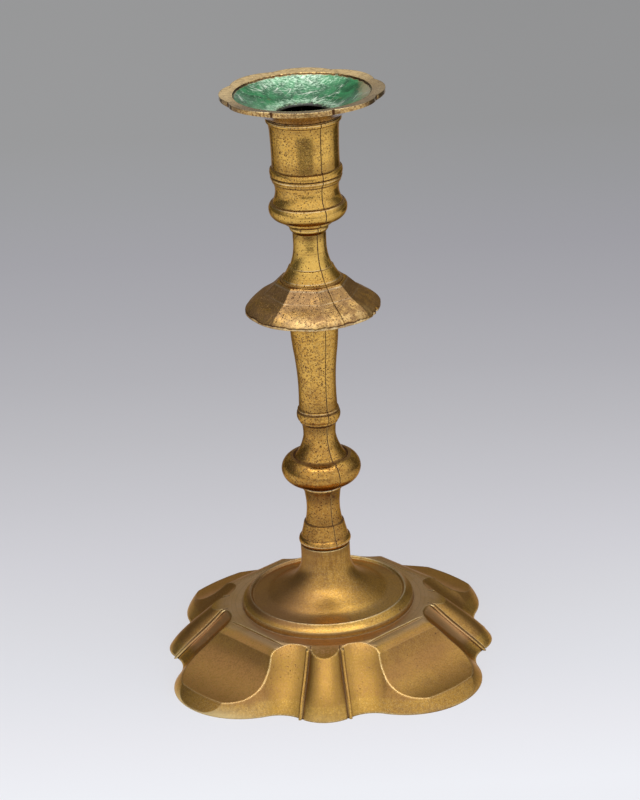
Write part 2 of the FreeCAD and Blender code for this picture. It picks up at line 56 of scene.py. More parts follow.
class Paint:
    # one node tree, of a material or of the world

    def __init__(self, tree):
        self.tree = tree
        self.tree.nodes.clear()

    def node(self, kind, settings=None, inputs=None, output=0):
        made = self.tree.nodes.new(kind)
        for key, value in (settings or {}).items():
            if key == "stops":
                self.setStops(made.color_ramp, value)
            else:
                setattr(made, key, value)
        for key, value in (inputs or {}).items():
            if isinstance(value, Wire):
                self.tree.links.new(value.socket, made.inputs[key])
            else:
                made.inputs[key].default_value = value
        return Wire(self, made.outputs[output]) if made.outputs else made

    def setStops(self, ramp, stops):
        while len(ramp.elements) > 1:
            ramp.elements.remove(ramp.elements[-1])
        ramp.elements[0].position = stops[0][0]
        ramp.elements[0].color = colour(stops[0][1])
        for where, tint in stops[1:]:
            ramp.elements.new(where).color = colour(tint)

    def maths(self, operation, first, second=None):
        inputs = {0: first}
        if second is not None:
            inputs[1] = second
        return self.node("ShaderNodeMath", {"operation": operation}, inputs)

    def most(self, first, second):
        return self.maths("MAXIMUM", first, second)

    def above(self, value, limit):
        return self.maths("GREATER_THAN", value, limit)

    def below(self, value, limit):
        return self.maths("LESS_THAN", value, limit)

    def fromAxis(self, x, y):
        return self.maths("SQRT", x * x + y * y)

    def blend(self, share, first, second):
        settings = {"data_type": "RGBA", "clamp_factor": True}
        inputs = {0: share, 6: colour(first), 7: colour(second)}
        return self.node("ShaderNodeMix", settings, inputs, 2)

    def ramp(self, value, stops):
        return self.node("ShaderNodeValToRGB", {"stops": stops}, {0: value})

    def between(self, value, low, high, fromValue=0.0, toValue=1.0):
        # smooth step from fromValue at low to toValue at high
        settings = {"interpolation_type": "SMOOTHSTEP"}
        inputs = {0: value, 1: low, 2: high, 3: fromValue, 4: toValue}
        return self.node("ShaderNodeMapRange", settings, inputs)

    def fades(self, value, low, high):
        return self.between(value, low, high, 1.0, 0.0)

    def window(self, value, start, full, stop, end, after=0.0):
        # rises to 1 between start and full, and goes down to after between stop and end
        return self.between(value, start, full) * self.between(value, stop, end, 1.0, after)

    def noise(self, place, scale, detail=3.0, rough=0.55, distort=0.0):
        inputs = {"Vector": place, "Scale": scale, "Detail": detail}
        inputs.update({"Roughness": rough, "Distortion": distort})
        return self.node("ShaderNodeTexNoise", {}, inputs)

    def cells(self, place, scale, output="Distance"):
        return self.node("ShaderNodeTexVoronoi", {}, {"Vector": place, "Scale": scale}, output)

    def objectPlace(self):
        return self.node("ShaderNodeTexCoord", {}, {}, "Object")

    def stretched(self, place, scale, shift=(0, 0, 0)):
        inputs = {"Vector": place, "Scale": scale, "Location": shift}
        return self.node("ShaderNodeMapping", {}, inputs)

    def split(self, place):
        parts = self.node("ShaderNodeSeparateXYZ", {}, {0: place})
        outputs = parts.socket.node.outputs
        return [Wire(self, outputs[i]) for i in range(3)]

    def join(self, x, y, z):
        return self.node("ShaderNodeCombineXYZ", {}, {0: x, 1: y, 2: z})

    def normal(self):
        return self.node("ShaderNodeNewGeometry", {}, {}, "Normal")

    def hollows(self, reach):
        # 1 on open surface, lower in a corner
        return self.node("ShaderNodeAmbientOcclusion", {"samples": 8}, {"Distance": reach}, "AO")

    def finish(self, shader):
        self.node("ShaderNodeOutputMaterial", {}, {"Surface": shader})


def colour(value):
    return (*value, 1.0) if isinstance(value, tuple) and len(value) == 3 else value


def newMaterial(name):
    material = bpy.data.materials.new(name)
    material.use_nodes = True
    return material, Paint(material.node_tree)


def ringLines(paint, z, radius, lines):
    # 1 on each turned line of the list, if it is in the line's range of radius
    total = 0.0
    for level, width, strength, low, high in lines:
        near = paint.fades(abs(z - level * 0.001), 0.0, width * 0.001)
        inRange = paint.above(radius, low * 0.001) * paint.below(radius, high * 0.001)
        total = near * inRange * strength + total
    return total


class Brass:
    # the brass of one piece: its patches, its colour as the layers go on, its relief

    def __init__(self, name, look):
        self.material, self.paint = newMaterial(name)
        self.look = look
        paint = self.paint
        self.place = paint.objectPlace()
        self.moved = paint.stretched(self.place, (1, 1, 1), look["shift"])
        self.x, self.y, self.z = paint.split(self.place)
        self.radius = paint.fromAxis(self.x, self.y)
        self.surface = paint.normal()
        self.tilt = paint.split(self.surface)[2]  # 1 where it faces up, -1 where it faces down
        self.cloud = paint.noise(self.moved, look["cloudScale"], 4.0, 0.6)
        self.blotch = paint.noise(self.moved, look["blotchScale"], 5.0, 0.65, 0.4)
        self.grain = paint.noise(self.moved, look["grainScale"], 3.0, 0.6)
        self.metal = look["gold"]
        self.layTones()
        self.shadeByTilt()
        self.castPits()
        self.shadeHollows()
        self.darkAndBrightLines()
        self.wearAndHighlightEdges()
        self.turnAndRoughen()

    def lay(self, share, tint):
        # one more layer of colour, named in the look
        self.metal = self.paint.blend(share, self.metal, self.look[tint])

    def layTones(self):
        # golden where it is rubbed, browner where the old lacquer and dirt stay, with a painted
        # reflection round the socket and bowl
        paint, look = self.paint, self.look
        fine = paint.noise(self.moved, look["grainScale"] * 2.6, 2.0, 0.5)
        self.lay(paint.between(self.cloud, 0.35, 0.65), "deep")
        self.lay(paint.between(self.blotch, 0.48, 0.72) * look["brown"], "patina")
        drifted = self.x + (self.cloud - 0.5) * 0.02
        spread = paint.between(drifted, *look["grainSides"], 1.0, look["grainRight"])
        self.lay(paint.between(self.grain, 0.50, 0.58) * spread * look["grain"], "speck")
        self.lay(paint.between(fine, 0.52, 0.62, 0.0, 0.6) * look["grain"], "bright")
        # painted reflection: a brighter gold round the socket and bowl
        self.lay(paint.window(self.z, *look["topLevels"], 0.3) * look["topShare"], "topSheen")

    def shadeByTilt(self):
        # undersides are dark with painted shade, level faces hold dust and a painted sheen, and sloping
        # faces keep more of the brown, with painted shade
        paint, look, tilt = self.paint, self.look, self.tilt
        # painted shade: faces turned downwards get a dark brown
        under = paint.fades(tilt, -0.70, -0.22) * paint.between(self.blotch, 0.3, 0.6, 0.7, 1.0)
        self.lay(under * look["underShare"], "shadeAndSpotBrown")
        mottled = paint.between(self.cloud + (self.blotch - 0.5), 0.3, 0.6, 0.6, 1.0)
        # dust and painted sheen: level faces are made paler, as if lit from above
        level = paint.between(tilt, 0.90, 0.97) * mottled
        self.lay(level * paint.window(self.z, *look["dustSheenLevels"], 0.2) * look["dustSheenShare"], "dustAndSheen")
        # brown patina and painted shade on the sloping faces
        bottom, top = look["slopeLevels"]
        inBand = paint.window(self.z, bottom, bottom + 0.001, top, top + 0.001)
        mottled = paint.between(self.blotch + (self.cloud - 0.5) * 0.6, 0.25, 0.65, 0.6, 1.0)
        self.sloping = paint.window(tilt, 0.35, 0.55, 0.82, 0.93) * inBand * mottled
        self.lay(self.sloping * look["slopeShare"], "slopeBrownShade")

    def castPits(self):
        # casting pits, gathered in patches, and a few larger ones
        paint, look = self.paint, self.look
        bias = paint.between(self.x, *look["pitSides"], look["pitBias"], 0.0) + self.sloping * 0.12
        gathered = paint.noise(self.moved, look["patchScale"], 2.0, 0.6) + bias
        patch = paint.between(gathered, look["patchLow"], look["patchHigh"])
        spot = paint.cells(self.moved, look["pitScale"])
        pick = paint.split(paint.cells(self.moved, look["pitScale"], "Color"))[0]
        small = paint.fades(spot, look["pitCore"], look["pitCore"] + 0.18)
        small = small * paint.above(pick, 1.0 - look["pitShare"]) * patch
        bigScale = look["pitScale"] * 0.4
        bigSpot = paint.cells(self.moved, bigScale)
        bigPick = paint.split(paint.cells(self.moved, bigScale, "Color"))[1]
        big = paint.fades(bigSpot + (self.grain - 0.5) * 0.6, 0.08, 0.24)
        self.pits = paint.most(small, big * paint.above(bigPick, 1.0 - look["bigPitShare"]))

    def shadeHollows(self):
        # brown in the hollows and low on the stem, and under what stands out
        paint, look = self.paint, self.look
        openWide = paint.hollows(look["hollowReach"]) + (self.cloud - 0.5) * 0.3
        low = paint.between(self.z, *look["lowLevels"], look["lowBrown"], 0.0)
        low = low * paint.between(self.blotch, 0.30, 0.62, 0.55, 1.0)
        shade = paint.most(paint.fades(openWide, look["hollowFull"], look["hollowNone"]), low)
        self.lay(shade * look["hollowShare"], "hollow")
        uneven = paint.between(self.blotch + (self.grain - 0.5) * 0.6, 0.30, 0.60, 1.0, 0.5)
        for start, end, share in look["shadedBands"]:
            full = start * 0.3 + end * 0.7
            past = end + math.copysign(0.3, end - start)
            levels = [level * 0.001 for level in (start, full, end, past)]
            self.lay(paint.window(self.z, *levels) * uneven * share, "shaded")

    def darkAndBrightLines(self):
        # dirt and painted shade in the corners and the turned lines, with painted highlight lines beside
        # them
        paint, look = self.paint, self.look
        # dirt and painted shade: darker where the occlusion mask finds a corner
        self.openNear = paint.hollows(look["dirtShadeReach"])
        corners = self.openNear + (self.blotch - 0.5) * 0.25
        self.dirtAndShade = paint.fades(corners, look["dirtShadeFull"], look["dirtShadeNone"])
        if look["lines"]:
            broken = paint.between(self.grain + self.cloud * 0.6, 0.70, 1.0, 1.0, 0.55)
            wavy = self.z + (self.blotch - 0.5) * 0.0007
            lines = ringLines(paint, wavy, self.radius, look["lines"]) * broken
            self.dirtAndShade = paint.most(self.dirtAndShade, lines)
            # painted highlights: thin bright lines along the turned edges
            paintedSheen = ringLines(paint, self.z, self.radius, look["brightLines"])
            self.lay(paintedSheen * paint.between(self.blotch, 0.35, 0.6, 1.0, 0.4), "wornAndGlint")

    def wearAndHighlightEdges(self):
        # bright on the edges, partly wear and partly painted highlight, then dirt and painted shade, and
        # pits, over it
        paint, look = self.paint, self.look
        self.rounded = paint.node("ShaderNodeBevel", {"samples": 6}, {"Radius": look["edgeReach"]})
        sides = {0: self.rounded, 1: self.surface}
        along = paint.node("ShaderNodeVectorMath", {"operation": "DOT_PRODUCT"}, sides, "Value")
        edge = paint.between(1.0 - along, look["edgeNone"], look["edgeFull"])
        edge = edge * paint.between(self.openNear, 0.72, 0.90)
        self.edge = edge * paint.between(self.blotch, 0.3, 0.6, 0.55, 1.0)
        # wear and painted highlight on the edges
        self.lay(self.edge * look["edgeShare"], "bright")
        self.lay(self.dirtAndShade * look["dirtShadeShare"], "dirtAndShade")
        self.lay(self.pits * look["pitDark"], "pit")

    def turnAndRoughen(self):
        # turning marks run round the axis; the top of the stem is the most polished
        paint, look = self.paint, self.look
        turned = paint.noise(paint.join(self.radius, 0.0, self.z), look["turnScale"], 2.0, 0.7)
        self.lay(paint.between(turned, 0.52, 0.66, 0.0, look["turnTint"]), "patina")
        polish = paint.between(self.z, *look["polishLevels"], 0.0, look["polish"])
        rough = look["roughness"] - polish + (self.cloud - 0.5) * 0.18 + (self.grain - 0.5) * 0.16
        rough = rough + self.dirtAndShade * 0.22 - self.edge * 0.08
        self.rough = rough + self.pits * 0.2 + self.sloping * look["slopeRough"]
        height = (self.grain - 0.5) * look["grainBump"] + (turned - 0.5) * look["turnBump"]
        height = height + (self.blotch - 0.5) * look["blotchBump"]
        height = height - self.pits * look["pitBump"] - self.dirtAndShade * look["dirtBump"]
        inputs = {"Strength": 1.0, "Distance": 0.001, "Height": height, "Normal": self.rounded}
        self.bump = paint.node("ShaderNodeBump", {}, inputs)

    def bareShare(self):
        # how much of it is clean metal
        return 1.0 - self.paint.most(self.dirtAndShade * 0.6, self.pits * 0.5)

    def finished(self, inputs):
        self.paint.finish(self.paint.node("ShaderNodeBsdfPrincipled", {}, inputs))
        return self.material


def brassMaterial(name, look, finish=None):
    brass = Brass(name, look)
    if finish:
        finish(brass)
    inputs = {
        "Base Color": brass.metal,
        "Roughness": brass.rough,
        "Metallic": brass.bareShare(),
        "Normal": brass.bump,
        "Specular Tint": look["edgeTint"],
        "Coat Weight": look["coat"],
        "Coat Roughness": 0.35,
    }
    return brass.finished(inputs)


def panFinish(brass):
    # the pan is mottled, paler low on its front with a painted sheen, with a wavy dark line above its lip
    paint, look = brass.paint, brass.look
    x, y, z = brass.x, brass.y, brass.z
    onPan = paint.window(z, *look["panLevels"]) * paint.between(brass.radius, *look["panInner"])
    mottle = paint.noise(brass.place, 330.0, 5.0, 0.7, 0.6)
    upper = paint.between(z, *look["panUpper"], 0.0, 0.10)
    brass.lay(onPan * paint.between(mottle + upper, 0.44, 0.60) * look["panBrown"], "panDark")
    # painted sheen: paler low on the front of the pan, less on its left
    front = paint.fades(y, *look["panFront"]) * paint.fades(z, *look["panLower"])
    front = front * paint.between(x, *look["panLeft"])
    uneven = mottle + paint.between(x, -0.006, 0.004, -0.06, 0.06)
    paintedSheen = front * paint.fades(uneven, 0.46, 0.60)
    brass.lay(onPan * paintedSheen * look["panSheen"], "panPale")

    wave = paint.noise(paint.join(x, y, 0.0), 210.0, 2.0, 0.6)
    lip = z - look["lipLevel"] - (wave - 0.5) * look["lipWave"]
    outer = paint.between(brass.radius, *look["lipRadius"]) * onPan
    below = paint.fades(lip, -0.0002, 0.0) * paint.between(mottle, 0.36, 0.62, 1.0, 0.3)
    brass.lay(outer * below * look["lipPale"], "wornAndGlint")
    line = paint.fades(abs(lip), 0.00014, 0.00030) * paint.between(mottle, 0.38, 0.5, 0.5, 1.0)
    brass.lay(outer * line * 0.85, "dirtAndShade")


def ribFinish(brass):
    # file marks up the walls, dirt and painted shade in the grooves beside each rib and a painted sheen
    # on the foot
    paint, look = brass.paint, brass.look
    x, y, z = brass.x, brass.y, brass.z
    along = paint.most(abs(x), abs(y))
    across = paint.maths("MINIMUM", abs(x), abs(y))
    side = 1.0 - abs(brass.tilt)
    filed = paint.noise(paint.stretched(brass.place, (1.0, 1.0, 0.12)), 1300.0, 3.0, 0.6)
    marks = paint.between(filed, 0.45, 0.62) * paint.between(side, 0.15, 0.5)
    brass.lay(marks * look["fileMarks"], "patina")

    # the lobes' sloping tops, redder on the left, and the walls each side of the front rib
    mottle = paint.noise(brass.place, 1400.0, 4.0, 0.65)
    panel = paint.fades(side, 0.20, 0.30) * paint.fades(z, *look["panelTop"])
    panel = panel * paint.between(across, *look["panelSide"])
    panel = panel * paint.between(x, *look["baseSides"], 0.7, 0.35)
    brass.lay(panel * paint.between(mottle, 0.44, 0.60, 1.0, 0.35), "panelTone")
    wall = paint.fades(y, *look["wallFront"]) * paint.fades(across, *look["panelSide"])
    brass.lay(wall * paint.between(mottle, 0.40, 0.60, 0.2, 0.8), "wallTone")
    # painted reflection: the low walls of the foot are brighter, more on the left
    paintedSheen = paint.fades(z, *look["footLevels"]) * paint.between(side, 0.3, 0.7)
    brass.lay(paintedSheen * paint.between(x, *look["baseSides"], 1.0, 0.1) * look["paintedSheen"], "bright")

    # the channels beside the side and back ribs, made paler as painted light, then the groove at the foot
    # of each rib, darkened with dirt and painted shade
    foot, lean, width = look["ribLine"]
    channelSheen = paint.window(across, foot - 0.0016, foot - 0.0006, *look["channelEnd"])
    channelSheen = channelSheen * paint.between(along, *look["channelReach"])
    channelSheen = channelSheen * paint.between(y, *look["channelBack"]) * paint.window(z, *look["channelLevels"])
    brass.lay(channelSheen * look["channelShare"], "channelSheen")
    # dirt and painted shade along the groove at the foot of each rib
    groove = paint.fades(abs(across - (foot - z * lean)), width * 0.35, width)
    groove = groove * paint.above(along, look["ribReach"]) * paint.below(z, look["ribTop"])
    brass.lay(groove * 0.85, "dirtAndShade")
    brass.dirtAndShade = paint.most(brass.dirtAndShade, groove)
    cone = paint.fades(x, *look["coneLeft"]) * paint.between(z, *look["coneFrom"])
    brass.lay(cone * look["leftBrown"], "leftTone")


# places and levels are in metres, shares go from 0 to 1, and shift moves the patches about
stemLook = {
    "shift": (0.013, 0.4, 0.07),
    "gold": (0.80, 0.455, 0.086),
    "deep": (0.62, 0.315, 0.052),
    "patina": (0.27, 0.115, 0.030),
    "speck": (0.20, 0.085, 0.022),
    "bright": (0.95, 0.68, 0.24),
    "topSheen": (0.86, 0.56, 0.13),
    "topShare": 0.6,
    "topLevels": (0.134, 0.142, 0.156, 0.166),
    "slopeBrownShade": (0.40, 0.250, 0.128),
    "slopeShare": 0.6,
    "slopeRough": 0.22,
    "slopeLevels": (0.122, 0.135),
    "panLevels": (0.1244, 0.1247, 0.1348, 0.1354),
    "panInner": (0.0106, 0.0112),
    "panUpper": (0.1285, 0.1325),
    "panLower": (0.1270, 0.1325),
    "panFront": (-0.013, -0.006),
    "panLeft": (-0.0125, 0.0),
    "panBrown": 0.6,
    "panDark": (0.26, 0.150, 0.070),
    "panSheen": 0.4,
    "panPale": (0.94, 0.68, 0.30),
    "lipPale": 0.45,
    "lipLevel": 0.1262,
    "lipWave": 0.0022,
    "lipRadius": (0.0195, 0.0200),
    "dirtAndShade": (0.070, 0.026, 0.010),
    "pit": (0.075, 0.026, 0.010),
    "cloudScale": 60.0,
    "blotchScale": 210.0,
    "grainScale": 1450.0,
    "patchScale": 75.0,
    "patchLow": 0.40,
    "patchHigh": 0.58,
    "pitBias": 0.30,
    "pitSides": (-0.008, 0.010),
    "pitScale": 1250.0,
    "pitCore": 0.15,
    "pitShare": 0.85,
    "bigPitShare": 0.06,
    "pitDark": 0.95,
    "brown": 0.5,
    "grain": 0.85,
    "grainRight": 0.55,
    "grainSides": (-0.006, 0.007),
    "underShare": 0.85,
    "shadeAndSpotBrown": (0.13, 0.050, 0.016),
    "shaded": (0.085, 0.032, 0.011),
    # dark bands in millimetres: (level where each starts, level where it ends, share)
    "shadedBands": [
        (186.0, 190.0, 0.4),
        (178.5, 174.7, 0.5),
        (148.5, 153.3, 0.85),
        (117.5, 124.8, 0.85),
        (94.0, 90.2, 0.45),
        (80.0, 84.7, 0.8),
        (66.5, 61.8, 0.95),
        (53.5, 60.6, 0.95),
        (52.0, 48.0, 0.35),
    ],
    "dustSheenShare": 0.0,
    "dustAndSheen": (0.62, 0.42, 0.17),
    "dustSheenLevels": (0.0155, 0.0168, 0.0182, 0.0194),
    "dirtShadeReach": 0.0014,
    "dirtShadeFull": 0.50,
    "dirtShadeNone": 0.82,
    "dirtShadeShare": 0.95,
    "hollow": (0.23, 0.092, 0.022),
    "hollowReach": 0.008,
    "hollowFull": 0.42,
    "hollowNone": 0.80,
    "hollowShare": 0.85,
    "lowBrown": 0.5,
    "lowLevels": (0.060, 0.118),
    "edgeReach": 0.0004,
    "edgeFull": 0.20,
    "edgeNone": 0.03,
    "edgeShare": 0.6,
    "turnScale": 2600.0,
    "turnTint": 0.35,
    "polish": 0.08,
    "polishLevels": (0.128, 0.145),
    "coat": 0.08,
    "edgeTint": (0.84, 0.60, 0.38, 1),
    "roughness": 0.21,
    "grainBump": 0.028,
    "turnBump": 0.012,
    "blotchBump": 0.03,
    "pitBump": 0.06,
    "dirtBump": 0.05,
    "wornAndGlint": (1.0, 0.86, 0.56),
    # turned lines in millimetres: (level, half width, strength, least radius, most radius)
    # bright lines: painted highlights along the turned edges
    "brightLines": [
        (190.9, 0.22, 0.6, 11.5, 13.5),
        (171.3, 0.25, 0.8, 11.0, 12.6),
        (162.4, 0.22, 0.6, 11.5, 13.0),
        (156.8, 0.25, 0.8, 7.8, 9.0),
        (153.9, 0.22, 0.6, 5.9, 7.0),
        (140.5, 0.18, 0.5, 6.4, 8.0),
        (136.6, 0.20, 0.8, 9.2, 11.0),
        (134.9, 0.30, 0.8, 11.2, 13.6),
        (131.6, 0.18, 0.5, 14.0, 18.0),
        (89.4, 0.22, 0.7, 6.4, 8.5),
        (61.2, 0.26, 1.0, 6.2, 8.0),
        (40.9, 0.22, 0.7, 8.4, 9.5),
    ],
    # dark turned lines: dirt and painted shade
    "lines": [
        (174.6, 0.36, 0.80, 10.0, 14.0),
        (172.1, 0.38, 0.85, 10.0, 14.0),
        (169.9, 0.34, 1.0, 10.0, 14.0),
        (162.8, 0.36, 1.0, 10.0, 14.0),
        (157.2, 0.60, 0.9, 7.0, 10.5),
        (154.9, 0.35, 0.8, 5.0, 7.5),
        (140.3, 0.30, 0.40, 5.0, 9.0),
        (136.1, 0.45, 0.85, 9.0, 12.5),
        (89.9, 0.28, 0.75, 5.0, 9.0),
        (88.7, 0.36, 1.0, 5.0, 9.0),
        (84.8, 0.36, 0.8, 5.0, 9.0),
        (72.3, 0.40, 0.75, 7.0, 10.5),
        (63.0, 0.60, 1.0, 6.0, 11.0),
        (60.3, 0.35, 0.7, 5.0, 8.0),
        (47.8, 0.36, 1.0, 4.0, 12.0),
        (42.7, 0.26, 0.55, 4.0, 12.0),
        (39.8, 0.40, 1.0, 4.0, 12.0),
    ],
}

baseLook = dict(
    stemLook,
    shift=(0.31, 0.02, 0.55),
    gold=(0.62, 0.35, 0.062),
    deep=(0.46, 0.24, 0.042),
    topShare=0.0,
    slopeBrownShade=(0.31, 0.150, 0.052),
    slopeRough=0.04,
    slopeLevels=(0.0035, 0.0185),
    patina=(0.23, 0.11, 0.032),
    speck=(0.22, 0.10, 0.028),
    cloudScale=32.0,
    blotchScale=120.0,
    grainScale=1500.0,
    patchLow=0.50,
    patchHigh=0.75,
    pitBias=0.0,
    pitShare=0.25,
    bigPitShare=0.015,
    brown=0.45,
    grain=0.4,
    grainRight=1.0,
    dustSheenShare=0.75,
    dustAndSheen=(0.80, 0.54, 0.30),
    dirtShadeReach=0.0018,
    dirtShadeFull=0.45,
    dirtShadeNone=0.80,
    dirtShadeShare=0.85,
    hollow=(0.17, 0.078, 0.024),
    hollowReach=0.010,
    hollowFull=0.40,
    hollowShare=0.2,
    lowBrown=0.0,
    bright=(1.0, 0.80, 0.40),
    edgeReach=0.0009,
    edgeFull=0.10,
    edgeNone=0.012,
    edgeShare=0.9,
    roughness=0.34,
    polish=0.0,
    turnTint=0.2,
    grainBump=0.035,
    turnBump=0.015,
    shadedBands=[(36.0, 39.4, 0.45)],
    lines=[(18.5, 1.2, 0.7, 29.2, 30.0)],
    brightLines=[(21.2, 0.25, 0.6, 25.8, 27.2)],
    leftBrown=0.6,
    leftTone=(0.30, 0.145, 0.070),
    coneLeft=(-0.016, 0.004),
    coneFrom=(0.0193, 0.0205),
    panelTone=(0.62, 0.315, 0.10),
    panelTop=(0.0160, 0.0166),
    panelSide=(0.0165, 0.0215),
    baseSides=(-0.030, 0.030),
    wallTone=(0.40, 0.225, 0.040),
    wallFront=(-0.037, -0.033),
    footLevels=(0.0035, 0.0060),
    channelSheen=(0.72, 0.44, 0.20),
    channelShare=0.75,
    channelEnd=(0.0112, 0.0128),
    channelReach=(0.031, 0.034),
    channelBack=(-0.030, -0.022),
    channelLevels=(0.003, 0.006, 0.0164, 0.0170),
    coat=0.15,
    ribLine=(0.0076, 0.16, 0.00034),  # half width at the table, lean, width of the groove
    ribReach=0.0345,
    ribTop=0.0172,
    fileMarks=0.4,
    paintedSheen=0.6,
)

floorLook = dict(stemLook, gold=(0.20, 0.11, 0.04), deep=(0.13, 0.07, 0.025), roughness=0.55)
floorLook["lines"] = []

nozzleLook = dict(
    stemLook,
    shift=(0.7, 0.11, 0.2),
    gold=(0.78, 0.52, 0.20),
    deep=(0.62, 0.38, 0.12),
    patina=(0.30, 0.16, 0.05),
    topShare=0.0,
    slopeShare=0.0,
    cloudScale=90.0,
    blotchScale=260.0,
    grainScale=1400.0,
    pitShare=0.3,
    bigPitShare=0.05,
    brown=0.6,
    lowBrown=0.0,
    hollowFull=0.25,
    hollowNone=0.60,
    roughness=0.22,
    lines=[],
    shadedBands=[],
    underShare=0.8,
    shadeAndSpotBrown=(0.24, 0.12, 0.042),
    bright=(1.0, 0.82, 0.45),
    edgeShare=0.9,
    dishRadius=0.02222,
    coatGreen=(0.034, 0.265, 0.085),
    coatDark=(0.010, 0.110, 0.032),
    coatPale=(0.68, 0.98, 0.68),
    coatBrown=(0.40, 0.24, 0.08),
    coatFaded=(0.36, 0.30, 0.15),
    rimSheen=(0.94, 0.67, 0.30),
    rimShare=0.75,
    rimSpots=0.7,
    rimInner=(0.0216, 0.0222),
    rimEdge=(0.0236, 0.0242),
    rimOuter=(0.0255, 0.0262),
    lobes=8,
    cuspTurn=25.0,
    cuspRadius=(0.0238, 0.0244),
    dishLow=0.1915,
    holeEdge=(0.0087, 0.0100),
    holeRadius=0.0089,
    holeLip=(0.1922, 0.1932),
    holeShade=(0.018, 0.012, 0.006),
    tornDark=(0.010, 0.014, 0.005),
    tornPale=(0.22, 0.34, 0.16),
    waxGlareMiddle=(0.0105, 0.0135),
    waxGlareBack=(0.010, 0.020),
    waxGlareLeft=(-0.017, -0.006),
    waxGlareRight=(0.004, 0.015),
    fadedRight=(0.0165, 0.0205),
    scratched=(0.80, 0.90, 0.72),
    scratches=[(35.0, 0.0), (-50.0, 0.3), (78.0, 0.7)],  # turn in degrees, shift
)

seamLook = {
    "flushLow": (0.092, 0.098, 0.136, 0.140),
    "flushHigh": (0.174, 0.182),
    "dark": (0.12, 0.040, 0.014),
    "rust": (0.36, 0.14, 0.042),
    "brass": (0.62, 0.35, 0.08),
    "roughness": 0.55,
}


def nozzleMaterial(look):
    # brass with a green dish, painted shade dark inside the candle hole
    brass = Brass("nozzleBrass", look)
    paint = brass.paint
    ragged = paint.noise(brass.place, 700.0, 3.0, 0.6)
    onRim = nozzleRim(brass, ragged)
    inDish, atHole, swirl, coat = dishCoat(brass, ragged)
    raggedEdge = brass.radius - look["dishRadius"] + (ragged - 0.5) * 0.0008
    brass.lay(paint.fades(abs(raggedEdge), 0.0001, 0.0003) * 0.8, "dirtAndShade")

    # painted shade: the inside of the candle hole is laid nearly black
    lip = paint.fades(brass.z + (ragged - 0.5) * 0.0015, *look["holeLip"])
    inHole = paint.below(brass.radius, look["holeRadius"]) * lip
    glossy = 0.30 + atHole * 0.4 + (swirl - 0.5) * 0.3
    inputs = {
        "Base Color": paint.blend(inHole, paint.blend(inDish, brass.metal, coat), look["holeShade"]),
        "Roughness": brass.rough * (1.0 - inDish) + inDish * glossy,
        "Metallic": brass.bareShare() * (1.0 - inDish * 0.75) * (1.0 - onRim * 0.55),
        "Normal": brass.bump,
        "Coat Weight": inDish * 0.8,
        "Coat Roughness": 0.12,
    }
    return brass.finished(inputs)


def nozzleRim(brass, ragged):
    # brown below as painted shade, pale on the flat of the rim as a painted highlight, spotted on its
    # edge, dark at the cusps
    paint, look = brass.paint, brass.look
    x, y, tilt, radius = brass.x, brass.y, brass.tilt, brass.radius
    # painted shade: brown under the rim and on its outer low edge
    under = paint.fades(tilt, -0.55, -0.10) * look["underShare"]
    lowEdge = paint.between(radius, *look["rimOuter"]) * paint.between(tilt, 0.2, 0.5, 0.15, 0.0)
    uneven = paint.between(ragged, 0.35, 0.6, 0.7, 1.0)
    brass.lay(paint.most(under, lowEdge) * uneven, "shadeAndSpotBrown")
    onRim = paint.between(tilt, 0.75, 0.9) * paint.between(radius, *look["rimInner"])
    onRim = onRim * paint.between(y - x * 0.5, -0.010, 0.012, 0.25, 1.0)
    onRim = onRim * paint.between(ragged, 0.30, 0.60, 0.6, 1.0)
    # painted highlight: the flat of the rim is pale, most at the back
    brass.lay(onRim * look["rimShare"], "rimSheen")
    onEdge = paint.fades(tilt, 0.75, 0.9) * paint.between(radius, *look["rimEdge"])
    spots = paint.between(paint.noise(brass.place, 1100.0, 3.0, 0.6), 0.48, 0.60)
    brass.lay(onEdge * spots * look["rimSpots"], "shadeAndSpotBrown")
    turn = paint.maths("ARCTAN2", y, x) * math.degrees(1)
    lobe = paint.maths("FRACT", (turn - look["cuspTurn"]) / (360.0 / look["lobes"]) + 10.0)
    cusp = paint.between(abs(lobe - 0.5) + (ragged - 0.5) * 0.03, 0.465, 0.49)
    cusp = cusp * paint.between(radius, *look["cuspRadius"])
    brass.lay(cusp * paint.between(tilt, 0.3, 0.6, 0.95, 0.35), "dirtAndShade")
    return onRim


